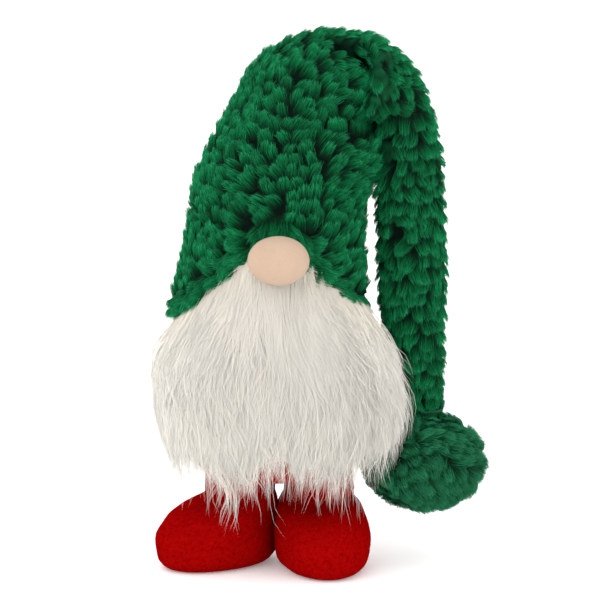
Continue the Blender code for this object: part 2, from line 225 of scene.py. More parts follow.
def turn_angles(around):
    return np.arange(around) / around * 2 * math.pi


def ball_parts(around, rows):
    """A unit ball's points, in rows round an axis: two parts across it, and the part along it."""
    angle = turn_angles(around)[None, :]
    level = np.linspace(0.02, math.pi - 0.02, rows)[:, None]
    return np.sin(level) * np.cos(angle), np.sin(level) * np.sin(angle), np.cos(level) + 0 * angle


# -------- meshes

def link_object(name, data):
    made = bpy.data.objects.new(name, data)
    bpy.context.scene.collection.objects.link(made)
    return made


def add_object(name, verts, corners, sizes, uvs, fields):
    """A smooth-shaded mesh object from flat arrays, with its bake layout and its per-point values."""
    mesh = bpy.data.meshes.new(name)
    mesh.vertices.add(len(verts))
    mesh.vertices.foreach_set("co", np.asarray(verts, np.float32).ravel())
    mesh.loops.add(len(corners))
    mesh.loops.foreach_set("vertex_index", np.asarray(corners, np.int32))
    mesh.polygons.add(len(sizes))
    mesh.polygons.foreach_set("loop_start", np.concatenate([[0], np.cumsum(sizes)[:-1]]).astype(np.int32))
    mesh.update(calc_edges=True)
    mesh.shade_smooth()
    layer = mesh.uv_layers.new(name="OFBake")
    layer.uv.foreach_set("vector", np.asarray(uvs, np.float32).ravel())
    for field, values in fields.items():
        mesh.attributes.new(field, "FLOAT", "POINT").data.foreach_set("value", np.asarray(values, np.float32))
    return link_object(name, mesh)


CAP_V = 0.03  # the share of the bake layout's height that each end's fan takes


def add_rows(name, points, pile=None):
    """A closed skin over rows of points round an axis, with a fan over either end. pile, on a skin with a pile
    material, is how high the locks stand at each point, from 0 to 1, and its material darkens the skin where
    the pile is low, as painted shade in the gaps."""
    rows, around = points.shape[:2]
    index = np.arange(rows * around).reshape(rows, around)
    after = np.roll(index, -1, axis=1)
    quads = stack(index[:-1], after[:-1], after[1:], index[1:]).reshape(-1, 4)
    u, step = np.arange(around) / around, 1 / around
    v = np.linspace(CAP_V, 1 - CAP_V, rows)
    uu, vv = np.meshgrid(u, v[:-1])
    dv = v[1] - v[0]
    steps = ((0, 0), (step, 0), (step, dv), (0, dv))
    quad_uv = np.stack([stack(uu + a, vv + b) for a, b in steps], axis=2).reshape(-1, 2)
    verts = [points.reshape(-1, 3)]
    corners, sizes, uvs = [quads.ravel()], [np.full(len(quads), 4)], [quad_uv]
    fields = {} if pile is None else {"along": [pile.reshape(-1)], "lot": [np.full(pile.size, 0.5)]}
    for row, end_v, edge_v, flip in ((0, 0.0, CAP_V, True), (rows - 1, 1.0, 1 - CAP_V, False)):
        middle = np.full(around, rows * around + (row > 0))
        verts.append(points[row].mean(0)[None])
        a, b, a_u, b_u = index[row], after[row], u, u + step
        if flip:
            a, b, a_u, b_u = b, a, b_u, a_u
        fan_uv = ((a_u, edge_v), (b_u, edge_v), (u + step / 2, end_v))
        uvs.append(np.stack([stack(fu, np.full(around, fv)) for fu, fv in fan_uv], 1).reshape(-1, 2))
        corners.append(stack(a, b, middle).ravel())
        sizes.append(np.full(around, 3))
        for values in fields.values():
            values.append([values[0].reshape(rows, around)[row].mean()])
    made = add_object(
        name, np.concatenate(verts), np.concatenate(corners), np.concatenate(sizes), np.concatenate(uvs),
        {field: np.concatenate(values) for field, values in fields.items()},
    )
    made.location = AXIS
    return made


FIBRE_RING = np.radians([90, 210, 330])  # the three sides of a fibre
RING_PAIRS = ((0, 1), (1, 2), (2, 0))


def fibre_faces(rings):
    """The corners of one fibre's faces, and each face's size: rings of three points, then the tip."""
    last, tip = (rings - 1) * 3, rings * 3
    sides = [(j + b, j + a, j + 3 + a, j + 3 + b) for j in range(0, last, 3) for a, b in RING_PAIRS]
    ends = [(0, 1, 2)] + [(last + b, last + a, tip) for a, b in RING_PAIRS]
    return np.array([c for face in sides + ends for c in face]), np.array([4] * len(sides) + [3] * len(ends))


def add_strands(name, paths, up, width, profile, lot, soft, roundness=0.5):
    """Tapering three-sided fibres along paths, in as many pieces as they need. up is each fibre's outward
    direction, soft the normal of its lock, and roundness how much it is shaded as round, and not as part
    of its lock."""
    count, k = paths.shape[:2]
    tangent = unit(np.gradient(paths, axis=1))
    side = unit(np.cross(tangent, up[:, None, :]))
    over = np.cross(side, tangent)
    radius = width[:, None] / 2 * profile
    rings = k - 1
    per = rings * 3 + 1
    one, one_sizes = fibre_faces(rings)
    along = np.concatenate([np.repeat(np.arange(rings) / rings, 3), [1.0]])
    across = np.concatenate([np.tile([0.2, 0.5, 0.8], rings), [0.5]])
    triangles = 6 * (rings - 1) + 4
    parts = max(1, math.ceil(count * triangles / MAX_FACES))
    made = []
    for part in range(parts):
        pick = slice(part * count // parts, (part + 1) * count // parts)
        p, s, o, r = paths[pick], side[pick], over[pick], radius[pick]
        n = len(p)
        s, o = s[:, :rings, None, :], o[:, :rings, None, :]
        offset = np.cos(FIBRE_RING)[:, None] * s + np.sin(FIBRE_RING)[:, None] * o
        ring_points = p[:, :rings, None, :] + offset * r[:, :rings, None, None]
        verts = np.concatenate([ring_points.reshape(n, -1, 3), p[:, -1:, :]], axis=1)
        corners = (np.arange(n)[:, None] * per + one).ravel()
        # Each fibre takes its own cell of a square grid in the UV layout.
        grid = math.ceil(math.sqrt(n))
        cell_x, cell_y = np.arange(n) % grid, np.arange(n) // grid
        uv = stack(
            (cell_x[:, None] + across[one]) / grid,
            (cell_y[:, None] + 0.12 + 0.76 * along[one]) / grid,
        ).reshape(-1, 2)
        part_name = name if parts == 1 else f"{name}_{part + 1}"
        fields = {"along": np.tile(along, n), "lot": np.repeat(lot[pick], per)}
        made.append(add_object(part_name, verts.reshape(-1, 3), corners, np.tile(one_sizes, n), uv, fields))
        lock = soft[pick]
        shaded = unit(offset * roundness + lock[:, :rings, None, :] * (1 - roundness))
        normals = np.concatenate([shaded.reshape(n, -1, 3), unit(lock[:, -1:, :])], axis=1)
        made[-1].data.normals_split_custom_set_from_vertices(normals.reshape(-1, 3).tolist())
    return made


# -------- materials

def linear(red, green, blue):
    """A display colour, each channel to 255, as the linear colour that a shader takes."""
    shares = (red / 255, green / 255, blue / 255)
    return tuple(c / 12.92 if c <= 0.04045 else ((c + 0.055) / 1.055) ** 2.4 for c in shares) + (1.0,)


def new_material(name):
    material = bpy.data.materials.new(name)
    material.use_nodes = True
    nodes, links = material.node_tree.nodes, material.node_tree.links
    return material, nodes, links, nodes["Principled BSDF"]


def ramp(nodes, stops):
    node = nodes.new("ShaderNodeValToRGB")
    elements = node.color_ramp.elements
    while len(elements) < len(stops):
        elements.new(0.5)
    for element, (place, colour) in zip(elements, stops):
        element.position, element.color = place, linear(*colour)
    return node


def set_inputs(node, values):
    for name, value in values.items():
        node.inputs[name].default_value = value


def texture_node(nodes, links, kind, values):
    node = nodes.new(kind)
    set_inputs(node, values)
    place = nodes.new("ShaderNodeTexCoord")
    links.new(place.outputs["Object"], node.inputs["Vector"])
    return node


def noise_node(nodes, links, scale, detail=3.0):
    return texture_node(nodes, links, "ShaderNodeTexNoise", {"Scale": scale, "Detail": detail})


def set_range(nodes, links, source, low, high, socket):
    node = nodes.new("ShaderNodeMapRange")
    set_inputs(node, {"To Min": low, "To Max": high})
    links.new(source, node.inputs["Value"])
    links.new(node.outputs["Result"], socket)


def add_bump(nodes, links, shader, height, strength, distance):
    bump = nodes.new("ShaderNodeBump")
    set_inputs(bump, {"Strength": strength, "Distance": distance})
    links.new(height, bump.inputs["Height"])
    links.new(bump.outputs["Normal"], shader.inputs["Normal"])


def fibre_material(name, stops, patch=(0.82, 1.15), lot=(0.8, 1.2), sheen=0.03, gloss=0.06):
    """Pile: its colour runs from dark at the roots to light at the tips, which is painted shade down among the
    fibres; it also differs from fibre to fibre, and drifts over the cloth. On a skin the same ramp runs from
    the gaps between the locks or curls to their tops, and paints shade in the gaps.
    """
    material, nodes, links, shader = new_material(name)
    along, each = (nodes.new("ShaderNodeAttribute") for _ in range(2))
    along.attribute_name, each.attribute_name = "along", "lot"
    # The ramp from root to tip is painted shade: dark where the fibres lie deep in the pile.
    colours = ramp(nodes, stops)
    links.new(along.outputs["Fac"], colours.inputs["Fac"])
    drift = noise_node(nodes, links, 35.0)
    scale = nodes.new("ShaderNodeMath")
    scale.operation = "MULTIPLY"
    set_range(nodes, links, drift.outputs["Fac"], patch[0], patch[1], scale.inputs[0])
    set_range(nodes, links, each.outputs["Fac"], lot[0], lot[1], scale.inputs[1])
    shade = nodes.new("ShaderNodeVectorMath")
    shade.operation = "SCALE"
    links.new(colours.outputs["Color"], shade.inputs[0])
    links.new(scale.outputs[0], shade.inputs["Scale"])
    links.new(shade.outputs["Vector"], shader.inputs["Base Color"])
    fine = noise_node(nodes, links, 900.0)
    set_range(nodes, links, fine.outputs["Fac"], 0.62, 0.92, shader.inputs["Roughness"])
    add_bump(nodes, links, shader, fine.outputs["Fac"], 0.25, 0.0003)
    set_inputs(shader, {"Specular IOR Level": gloss, "Sheen Weight": sheen, "Sheen Roughness": 0.4})
    set_inputs(shader, {"Sheen Tint": linear(*stops[-1][1])})
    return material


def cloth_material(name, dark, light, scale, bump_size, patch_scale=40.0, sheen=0.04, knit=False):
    """Nap, knit or thread: fine grain between two colours, with a slow drift and its own bump."""
    material, nodes, links, shader = new_material(name)
    if knit:
        grain_value = texture_node(nodes, links, "ShaderNodeTexVoronoi", {"Scale": scale}).outputs["Distance"]
    else:
        grain_value = noise_node(nodes, links, scale, 4.0).outputs["Fac"]
    drift = noise_node(nodes, links, patch_scale)
    mixed = nodes.new("ShaderNodeMath")
    mixed.operation = "ADD"
    set_range(nodes, links, grain_value, 0.0, 0.65, mixed.inputs[0])
    set_range(nodes, links, drift.outputs["Fac"], 0.0, 0.45, mixed.inputs[1])
    colours = ramp(nodes, [(0.25, dark), (0.85, light)])
    links.new(mixed.outputs[0], colours.inputs["Fac"])
    links.new(colours.outputs["Color"], shader.inputs["Base Color"])
    set_range(nodes, links, grain_value, 0.7, 0.95, shader.inputs["Roughness"])
    add_bump(nodes, links, shader, grain_value, 0.6, bump_size)
    set_inputs(shader, {"Specular IOR Level": 0.08, "Sheen Weight": sheen, "Sheen Roughness": 0.5})
    return material


# Near black green at the roots, painted shade among the fibres, lightening to bright green at the tips.
GREEN_FIBRE = fibre_material("green_fibre", [
    (0.0, (0, 20, 11)), (0.30, (2, 52, 28)), (0.70, (10, 111, 63)), (1.0, (46, 174, 114)),
], lot=(0.5, 1.4), sheen=0.35)
# The skin is darkest where the locks stand low, in the gaps between them: painted shade.
GREEN_SKIN = fibre_material("green_skin", [
    (0.0, (0, 12, 6)), (0.45, (2, 38, 20)), (1.0, (7, 76, 44)),
])
# The pompom's pile is also darker at the roots, as painted shade among the fibres.
POMPOM_FIBRE = fibre_material("pompom_fibre", [
    (0.0, (4, 36, 21)), (0.4, (14, 78, 48)), (1.0, (50, 142, 98)),
], lot=(0.6, 1.3), sheen=0.25)
# Darker red in the gaps between the fleece's curls, lighter on their tops: painted shade.
RED_NAP = fibre_material("red_nap_tips", [
    (0.0, (112, 0, 0)), (0.5, (134, 2, 2)), (1.0, (154, 7, 7)),
], patch=(0.88, 1.08), lot=(0.8, 1.2), sheen=0.05, gloss=0.0)
# A little darker at the roots, as painted shade among the hairs.
WHITE_FIBRE = fibre_material("white_fibre", [
    (0.0, (238, 230, 214)), (0.4, (247, 241, 227)), (1.0, (252, 248, 240)),
], patch=(0.97, 1.03), lot=(0.91, 1.06), sheen=0.2, gloss=0.25)
# Darker in the dips between the beard body's ridges and on its back face: painted shade.
WHITE_SKIN = fibre_material("white_skin", [
    (0.0, (230, 223, 208)), (1.0, (246, 241, 230)),
], patch=(0.92, 1.03), lot=(1.0, 1.0), sheen=0.1)
NOSE_KNIT = cloth_material(
    "nose_fabric", (175, 149, 128), (191, 166, 145), 2600.0, 0.00012, 60.0, 0.05, knit=True,
)
GREEN_THREAD = cloth_material("green_twine", (8, 52, 32), (20, 92, 58), 1500.0, 0.0002)
NOSE_THREAD = cloth_material("pale_twine", (196, 168, 142), (224, 198, 172), 1500.0, 0.0002)
BOARD = cloth_material("pressed_board", (112, 92, 68), (150, 128, 98), 420.0, 0.00008, sheen=0.0)
BAG = cloth_material("bag_cloth", (206, 200, 188), (232, 228, 218), 1100.0, 0.0002)
BACKING = cloth_material("knitted_backing", (190, 184, 170), (222, 217, 206), 1600.0, 0.0003, knit=True)
# The materials of the CAD nodes that stay visible, by the start of their own material's name
BY_SLOT = {"nose_thread": NOSE_THREAD, "green_thread": GREEN_THREAD, "stiff_board": BOARD, "weight_bag": BAG}


def dress(pieces, material):
    for piece in pieces if isinstance(pieces, list) else [pieces]:
        piece.data.materials.append(material)


# -------- surfaces

def round_section(centre_x, half_width, half_depth, height, angle, out=0.0):
    across, ahead = (half_width + out) * np.sin(angle), (half_depth + out) * np.cos(angle)
    return stack(centre_x + across, -ahead, height + 0 * angle)


def trunk_point(height, angle, out=0.0):
    x, half_width, half_depth = (smooth(height, TRUNK[:, 0], TRUNK[:, i]) for i in (1, 2, 3))
    return round_section(x, half_width, half_depth, height, angle, out)


def brim_height(angle):
    """The brim's edge: level round the back, and rising like a tent over the nose."""
    front = BRIM_FRONT - (BRIM_FRONT - BRIM_SIDE) * np.abs(np.sin(angle))
    corner = 0.006 * bell(np.abs(wrapped(angle)), math.pi / 2, 0.30)
    return np.where(np.cos(angle) > 0, front, BRIM_SIDE) + corner


HAT_S = np.concatenate([[0.0], np.cumsum(np.linalg.norm(np.diff(HAT[:, :3], axis=0), axis=1))])
S_LEVEL = HAT_S[LEVEL_STATIONS - 1]
S_TAIL = HAT_S[TAIL_STATION]
S_END = HAT_S[-1]


def s_at_lean(lean):
    """How far along the hat it first leans by that many degrees."""
    fold = slice(LEVEL_STATIONS - 1, UPRIGHT_TAIL_STATION + 1)
    return np.interp(lean, HAT[fold, 3], HAT_S[fold])


S_SPLIT = float(s_at_lean(FOLD_LEAN))
CREASE_S = s_at_lean(CREASE[:, 1])


def hat_point(s, angle, out=0.0):
    """A point of the hat's outer face, s along its middle from the brim's lowest level to the tip."""
    x, y, z, lean, half_width, half_depth = (smooth(s, HAT_S, HAT[:, i]) for i in range(6))
    lean = np.radians(lean)
    across = (half_width + out) * np.sin(angle)
    return stack(
        x + across * np.cos(lean), y - (half_depth + out) * np.cos(angle), z - across * np.sin(lean),
    )


def hat_surface(s, angle, out=0.0):
    """The same with the fold's pinch and the swellings."""
    return hat_point(s, angle, out + crease(s, angle)) + swell(s, angle)


def hat_frame(s, angle, out=0.0):
    """Place, outward normal and direction towards the tip at points of the hat."""
    near = 0.0015
    back, ahead = np.clip(s - near, 0, S_END), np.clip(s + near, 0, S_END)
    along = unit(hat_surface(ahead, angle, out) - hat_surface(back, angle, out))
    round_ = unit(hat_surface(s, angle + 0.01, out) - hat_surface(s, angle - 0.01, out))
    normal = unit(np.cross(round_, along))
    return hat_surface(s, angle, out), normal, along


def crease_offset(s, angle):
    """How far past the pinch a point is, and how much the pinch matters there."""
    angle = np.degrees(wrapped(angle))
    window = rise(angle, -66, 26) * clip01((72 - angle) / 26)
    return s - np.interp(angle, CREASE[:, 0], CREASE_S), window


PINCH_DEPTH, PINCH_WIDTH = 0.0170, 0.0075
LIP_HEIGHT, LIP_PLACE, LIP_WIDTH = 0.0055, 0.0175, 0.0085  # the swelling past the pinch


def crease(s, angle):
    """How far the fold's pinch draws the front of the hat in, and how far the fold swells beside it."""
    off, window = crease_offset(s, angle)
    return window * (LIP_HEIGHT * bell(off, LIP_PLACE, LIP_WIDTH) - PINCH_DEPTH * bell(off, 0, PINCH_WIDTH))


KNUCKLE = np.array([0.082, -0.022, 0.352])  # the lump of cloth beside the pinch
KNUCKLE_SIZE, KNUCKLE_PUSH = 0.024, np.array([-0.014, -0.012, -0.013])


def swell(s, angle):
    """How far the stuffing pushes the hat out where crown, fold and tail press on each other."""
    point = hat_point(s, angle)
    height = point[..., 2]
    inside = rise(np.sin(angle), 0.1, 0.5)
    outside = rise(-np.sin(angle), 0.1, 0.5)
    on_crown = clip01((S_LEVEL + 0.024 - s) / 0.02)
    on_tail = clip01((s - S_TAIL + 0.022) / 0.02)
    touching = np.exp(-np.abs((height - 0.322) / 0.040) ** 3)
    below = clip01((0.300 - height) / 0.03) * rise(height, 0.150, 0.03)
    x = 0
    for part, push, low, flat in ((on_crown, 0.0088, 0.0026, 0.0034), (-on_tail, 0.0056, 0.0030, 0.0018)):
        x = x + part * inside * np.maximum(push * touching, low * below) - part * outside * flat
    off, _ = crease_offset(s, angle)
    past = rise(off, 0.004, 0.008) * clip01((S_TAIL + 0.012 - s) / 0.024)
    knuckle = past * np.exp(-(((point - KNUCKLE) / KNUCKLE_SIZE) ** 2).sum(-1))
    return x[..., None] * [1.0, 0, 0] + knuckle[..., None] * KNUCKLE_PUSH


def s_at_height(height):
    return np.interp(height, HAT[:LEVEL_STATIONS, 2], HAT_S[:LEVEL_STATIONS])


# -------- tufts

FIBRE_PROFILE = (0.75, 1.0, 0.72, 0.0)  # a plush fibre's thickness along it
NEAREST = 9  # how many locks can matter to one point of the skin


class Tufts:
    """Locks of pile on a surface: where each grows, the way it lies, and its size."""

    def __init__(self, place, normal, along, length, width, lift):
        self.place, self.normal = place, normal
        along = along - (along * normal).sum(-1, keepdims=True) * normal
        self.along = unit(along)
        self.side = np.cross(self.along, self.normal)
        self.length, self.width, self.lift = length, width, lift

    def turned(self, angle):
        c, s = np.cos(angle)[:, None], np.sin(angle)[:, None]
        along = self.along * c + self.side * s
        return Tufts(self.place, self.normal, along, self.length, self.width, self.lift)

    def joined(self, other):
        names = ("place", "normal", "along", "length", "width", "lift")
        return Tufts(*(np.concatenate([getattr(self, name), getattr(other, name)]) for name in names))

    def height_field(self, points):
        """How high the locks' bodies stand at points of the skin, from 0 to 1."""
        tree = KDTree(len(self.place))
        middle = self.place + self.along * (self.length * 0.45)[:, None]
        for i, p in enumerate(middle):
            tree.insert(p, i)
        tree.balance()
        flat = points.reshape(-1, 3)
        found = np.array([[i for _, i, _ in tree.find_n(p, NEAREST)] for p in flat])
        d = flat[:, None, :] - self.place[found]
        l = (d * self.along[found]).sum(-1) / self.length[found]
        u = (d * self.side[found]).sum(-1) / (self.width[found] * 0.56)
        leaf = np.sqrt(clip01(1 - clip01((l - 0.45) / 0.55) ** 2.2))
        inside = (l > -0.15) & (l < 1.0) & (np.abs(u) < leaf)
        body = np.sqrt(clip01(1 - (u / np.maximum(leaf, 1e-3)) ** 2))
        height = np.where(inside, (0.2 + 0.8 * clip01(l) ** 0.7) * (0.35 + 0.65 * body), 0.0)
        return height.max(1).reshape(points.shape[:-1])

    def strands(self, rng, count, gather=0.22, ruffle=0.10):
        """Fibre paths: each rises from the skin, bends over along its lock, and ends near the lock's tip.
        Also each fibre's outward direction, its lock's own normals along it, and a number from 0 to 1."""
        n = len(self.place)
        one = np.repeat(np.arange(n), count)
        m, each = len(one), one[:, None]
        across = rng.uniform(-1, 1, m)
        start = rng.uniform(-0.25, 0.60, m)
        reach = 0.98 - 0.20 * np.abs(across) ** 2.5 + rng.normal(0, 0.10, m)
        stray = rng.random(m) < 0.12
        reach = np.where(stray, reach + rng.uniform(0.0, 0.12, m), reach)
        reach = np.maximum(reach, start + 0.34)
        top = self.lift[one] * (1.0 - 0.26 * across**2) * rng.uniform(0.72, 1.08, m)
        top = top * np.where(stray, 1.06, 1.0)
        t = np.linspace(0, 1, len(FIBRE_PROFILE))
        l = start[:, None] + (reach - start)[:, None] * (0.38 * t + 0.62 * t**1.6)
        arch = (1 - (1 - t) ** 1.8) - 0.30 * t**3
        h = top[:, None] * arch * np.clip(0.40 + 0.80 * l, 0.40, 1.05)
        pull = 1 - gather * clip01(l) ** 2
        wave = (rng.normal(0, ruffle, m) * np.where(stray, 2.0, 1.0))[:, None] * t**1.5
        bend = rng.normal(0, 0.20, n)[each] * np.clip(l, 0, 1.2) ** 2
        u = across[:, None] * 0.5 * pull + wave + bend
        length, width = self.length[each], self.width[each]
        place, side, along, normal = (v[each] for v in (self.place, self.side, self.along, self.normal))
        path = place + side * (u * width)[..., None] + along * (l * length)[..., None] + normal * h[..., None]
        tilt = rng.normal(0, 0.16, (n, 2))[one]
        soft = unit(normal + side * (1.1 * across + tilt[:, 0])[:, None, None]
                    + along * (0.75 * clip01(l) - 0.35 + tilt[:, 1:])[..., None])
        lock = rng.random(n)[one]
        return path, self.normal[one], soft, clip01(0.5 * lock + 0.5 * rng.random(m))


# -------- hat

FIBRES = 46  # in one lock of the hat
ROW_PITCH, TAIL_ROW_STRETCH = 0.0089, 1.13
CROWN_LOCK_SPACING, TAIL_LOCK_SPACING = 0.0082, 0.0088  # round a row
PILE_DEPTH = 0.0064  # from the hat's skin to its outer face
SKIN_RELIEF = 0.0034  # how far the skin stands up inside a lock
# How far above the brim's edge each row of its fringe grows, and how far round to each side, in radians
FRINGE_ROWS = ((-0.0015, 1.50), (0.0040, 1.45), (0.0090, 0.46), (0.0135, 0.40))


def tuft_rows(rng):
    """Where locks grow, in staggered rows round the hat, from the brim to the tip of the tail."""
    places, row = [], 0
    s = 0.004
    while s < S_END - 0.002:
        half_width = float(smooth(s, HAT_S, HAT[:, 4]))
        spacing = CROWN_LOCK_SPACING if s < S_LEVEL + 0.02 else TAIL_LOCK_SPACING
        count = max(6, round(2 * math.pi * half_width / spacing))
        angle = (np.arange(count) + 0.5 * (row // 2 % 2) + rng.normal(0, 0.22, count)) / count * 2 * math.pi
        round_it = stack(np.sin(angle) * 0.05, np.cos(angle) * 0.05, s + 0 * angle)
        at = s + 0.0042 * (grain(round_it, 0.016) - 0.5)
        places.append(stack(at + rng.normal(0, 0.0014, count), angle, np.full(count, row)))
        s += (ROW_PITCH if s < S_TAIL else ROW_PITCH * TAIL_ROW_STRETCH) / 2
        row += 1
    s, angle, row = np.concatenate(places).T
    s = np.clip(s, 0, S_END - 0.001)
    height = np.interp(s, HAT_S[:LEVEL_STATIONS], HAT[:LEVEL_STATIONS, 2])
    keep = (s >= S_LEVEL) | (height > brim_height(angle) + 0.003)
    # Rows run together inside the fold and apart over it, so some are left out or put between.
    ahead, behind = (hat_surface(np.clip(s + step, 0, S_END), angle) for step in (0.004, -0.004))
    spread = np.linalg.norm(ahead - behind, axis=-1) / 0.008
    keep &= np.where(row % 2 == 1, spread > 1.40, np.where(row % 4 == 0, spread > 0.30, spread > 0.80))
    off, window = crease_offset(s, angle)
    keep &= (off > 0.0035) | (off < -0.0095) | (window < 0.5)
    return s[keep], angle[keep]


def hat_tufts(rng):
    """The hat's locks, and how far along the hat each one grows."""
    s, angle = tuft_rows(rng)
    place, normal, along = hat_frame(s, angle, -PILE_DEPTH)
    above = place[:, 2] - brim_height(angle)
    turned = np.abs(wrapped(angle))
    under_fringe = (s < S_LEVEL) & (turned < 1.45) & (above < 0.006 + 0.009 * (turned < 0.40))
    free = ~under_fringe
    s, angle, place, normal, along, above = (v[free] for v in (s, angle, place, normal, along, above))
    # Round the nose and along the brim the pile points away from the nose.
    away = place - NOSE_CENTRE
    distance = np.linalg.norm(away[:, [0, 2]], axis=1)
    front = rise(np.cos(angle), 0.1, 0.3) * (s < S_LEVEL)
    pull = clip01(1 - (distance - 0.030) / 0.022)
    pull = np.maximum(pull, 0.6 * clip01(1 - (above - 0.004) / 0.022) * (np.abs(away[:, 0]) > 0.02))
    pull = (pull * front)[:, None]
    along = unit(along * (1 - pull) + unit(away * [1, 0, 1]) * pull)
    # The pile parts from the middle of the face, more to the right.
    crown = clip01(1 - (s - S_LEVEL) / 0.06) * (1 - pull[:, 0])
    parting = np.where(np.sin(angle) > 0, 0.85, 0.50) * np.sin(angle) * crown
    # Where crown and tail face each other the pile is left standing, and fills the gap.
    facing = rise(np.sin(angle), 0.45, 0.3) * rise(place[:, 2], 0.262, 0.02) * (np.abs(s - S_TAIL) > 0.012)
    n = len(s)
    tail = rise(s, S_TAIL, 0.03)
    off, window = crease_offset(s, angle)
    lump = bell(off, 0.018, 0.014) * window
    before = bell(off, -0.013, 0.005) * window
    length = (0.0119 + 0.0010 * tail + 0.0016 * lump - 0.0030 * before) * rng.uniform(0.80, 1.15, n)
    width = (0.0087 + 0.0008 * tail) * rng.uniform(0.85, 1.2, n)
    lift = (0.0063 + 0.0006 * tail + 0.0030 * facing + 0.0008 * lump) * rng.uniform(0.78, 1.2, n)
    narrow = np.clip(smooth(s, HAT_S, HAT[:, 4]) / 0.02, 0.45, 1)
    tufts = Tufts(place, normal, along, length * narrow, width * narrow, lift * narrow)
    sway = 1.3 * (grain(place, 0.024, 4.0) - 0.5) * (1 - 0.6 * tail)
    tufts = tufts.turned(parting + sway + rng.normal(0, 0.24 + 0.25 * lump, n))
    fringe, fringe_s = fringe_tufts(rng)
    return tufts.joined(fringe), np.concatenate([s, fringe_s])


def fringe_tufts(rng):
    """Rows of locks that hang over the brim, parted over the nose and swept to both sides."""
    rows = []
    for up_from_edge, half_arc in FRINGE_ROWS:
        count = round(2 * half_arc * 0.082 / 0.0074)
        at = np.linspace(-half_arc, half_arc, count) + rng.normal(0, 0.025, count)
        height = brim_height(at) + up_from_edge + rng.normal(0, 0.0008, count)
        rows.append(stack(s_at_height(height), at))
    s, angle = np.concatenate(rows).T
    place, normal, _ = hat_frame(s, angle, -PILE_DEPTH)
    off_nose = place[:, 0] - NOSE_CENTRE[0]
    down = 0.35 + 0.25 * (off_nose < 0) + 0.9 * bell(off_nose, 0, 0.012)
    swept = stack(np.tanh(off_nose / 0.010), 0 * off_nose, -down)
    n = len(off_nose)
    length = rng.uniform(0.0115, 0.0150, n) * (1 - 0.38 * rise(np.abs(angle), 0.95, 0.35))
    width, lift = rng.uniform(0.0080, 0.0105, n), rng.uniform(0.0062, 0.0090, n)
    return Tufts(place, normal, swept, length, width, lift).turned(rng.normal(0, 0.22, n)), s


def skin_stations(first, last, step):
    return np.linspace(first, last, max(2, round((last - first) / step)) + 1)


def hat_skin(tufts, s_rows, angle, depth):
    """The cloth under the pile: its outer face, its points raised inside the locks, and how much."""
    place, normal, _ = hat_frame(s_rows, np.broadcast_to(angle, s_rows.shape), depth)
    pile = tufts.height_field(place)
    return place, place + normal * (pile * SKIN_RELIEF)[..., None], pile


def crown_skin(tufts):
    angle = turn_angles(288)
    base = s_at_height(brim_height(angle))
    lower = [base + (S_LEVEL - base) * t for t in np.linspace(0, 1, 84)[:-1]]
    upper = [np.full(len(angle), s) for s in skin_stations(S_LEVEL, S_SPLIT, 0.0015)]
    place, skin, pile = hat_skin(tufts, np.array(lower + upper), angle, -PILE_DEPTH)
    # The brim turns under and runs in to the trunk.
    rim = place[0]
    under = trunk_point(brim_height(angle) + 0.004, angle, -0.001)
    inner = np.array([
        rim * (1 - t) + under * t + [0, 0, 0.003 * math.sin(math.pi * t)] for t in (1.0, 0.75, 0.5, 0.25)
    ])
    # The brim's underside gets no pile, so its skin takes the darkest colour: painted shade under the brim.
    pile = np.concatenate([np.zeros(inner.shape[:2]), pile])
    return add_rows("hat_crown_skin", np.concatenate([inner, skin]), pile)


def tail_skin(tufts):
    angle = turn_angles(200)
    s_rows = np.array([np.full(len(angle), s) for s in skin_stations(S_SPLIT, S_END, 0.0014)])
    depth = -PILE_DEPTH * np.clip(smooth(s_rows, HAT_S, HAT[:, 4]) / 0.02, 0.5, 1)
    _, skin, pile = hat_skin(tufts, s_rows, angle, depth)
    return add_rows("hat_tail_skin", skin, pile)


def build_hat():
    rng = np.random.default_rng(21)
    tufts, s_of = hat_tufts(rng)
    crown, tail = crown_skin(tufts), tail_skin(tufts)
    path, up, soft, lot = tufts.strands(rng, FIBRES)
    width = rng.uniform(0.00032, 0.00056, len(path))
    first = np.repeat(s_of, FIBRES) < S_SPLIT
    crown_pile, tail_pile = (
        add_strands(name, path[part] + AXIS, up[part], width[part], FIBRE_PROFILE, lot[part], soft[part])
        for name, part in (("hat_crown_pile", first), ("hat_tail_pile", ~first))
    )
    dress([crown, tail], GREEN_SKIN)
    dress(crown_pile + tail_pile, GREEN_FIBRE)
    for pieces, bodies, start, end in (
        ([crown] + crown_pile, ("trunk", "hat_fold"), (0.0520, 0, 0.3600), (0.0660, 0, 0.3687)),
        ([tail] + tail_pile, ("hat_fold", "hat_tail"), (0.098, 0.008, 0.335), (0.100, 0.008, 0.310)),
    ):
        for piece in pieces:
            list(bodies)
            Vector(AXIS) + Vector(start)
            Vector(AXIS) + Vector(end)
            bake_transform(piece)
    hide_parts("hat_crown_cover", "hat_crown_stuffing", "hat_brim_hem")
    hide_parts("hat_fold_cover", "hat_fold_stuffing", "hat_tail_cover", "hat_tail_stuffing")


